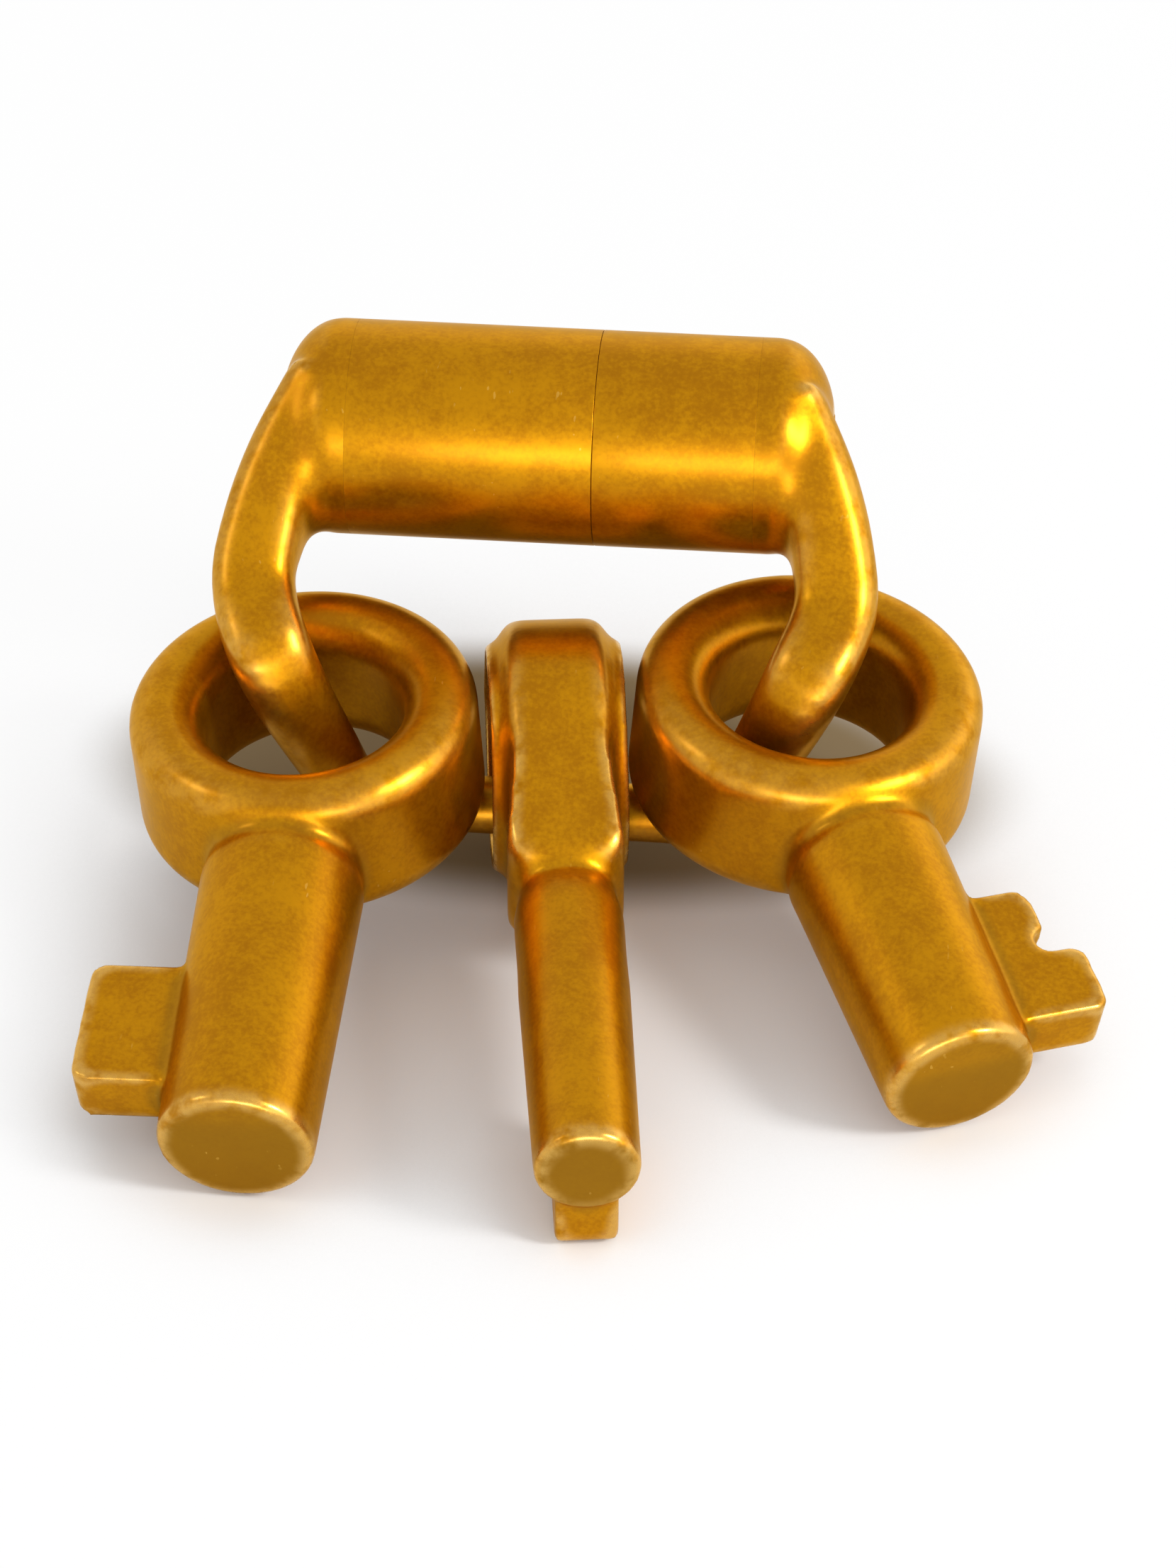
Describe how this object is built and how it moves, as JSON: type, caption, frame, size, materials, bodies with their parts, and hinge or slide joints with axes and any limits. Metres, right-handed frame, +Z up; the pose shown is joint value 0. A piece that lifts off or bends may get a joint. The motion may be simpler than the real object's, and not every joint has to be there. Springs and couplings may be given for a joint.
{
  "type": "souvenir key bunch",
  "caption": "Bunch of old-fashioned gilt keys hanging on a D-shaped shackle closed by a turned barrel, a desk souvenir.",
  "frame": {"origin": "on the table, under the middle of the shackle's lower bar", "axes": "+X along the barrel towards the stepped key, +Y from the keys towards the barrel, +Z up from the table"},
  "size_m": [0.0703, 0.0654, 0.0356],
  "materials": {
    "satin_gold": "satin"
  },
  "bodies": {
    "shackle": {"shackle": "satin_gold", "cross_pin": "satin_gold"},
    "long_sleeve": {"long_sleeve": "satin_gold"},
    "short_sleeve": {"short_sleeve": "satin_gold"},
    "left_key": {"left_key_bow": "satin_gold", "left_key_stem": "satin_gold", "left_key_bit": "satin_gold"},
    "middle_key": {"middle_key_bow": "satin_gold", "middle_key_bush": "satin_gold", "middle_key_stem": "satin_gold", "middle_key_bit": "satin_gold"},
    "right_key": {"right_key_bow": "satin_gold", "right_key_stem": "satin_gold", "right_key_bit": "satin_gold"}
  },
  "joints": [
    {"name": "long_sleeve_spin", "type": "hinge", "parent": "shackle", "child": "long_sleeve", "pos_m": [0, 0.01494, 0.02771], "axis": [1, 0, 0], "continuous": true},
    {"name": "short_sleeve_spin", "type": "hinge", "parent": "shackle", "child": "short_sleeve", "pos_m": [0, 0.01494, 0.02771], "axis": [1, 0, 0], "continuous": true},
    {"name": "left_key_swing", "type": "hinge", "parent": "shackle", "child": "left_key", "pos_m": [-0.01637, -0.0038, 0.01221], "axis": [-0.0532, -0.0697, 0.9962], "range_deg": [-150, 17]},
    {"name": "middle_key_swing", "type": "hinge", "parent": "shackle", "child": "middle_key", "pos_m": [0.0012, 0, 0.0099], "axis": [0.9903, 0.1392, 0], "range_deg": [-95, 170]},
    {"name": "right_key_swing", "type": "hinge", "parent": "shackle", "child": "right_key", "pos_m": [0.01913, 0.0012, 0.01221], "axis": [0.0836, -0.0641, 0.9944], "range_deg": [-27, 140]}
  ]
}
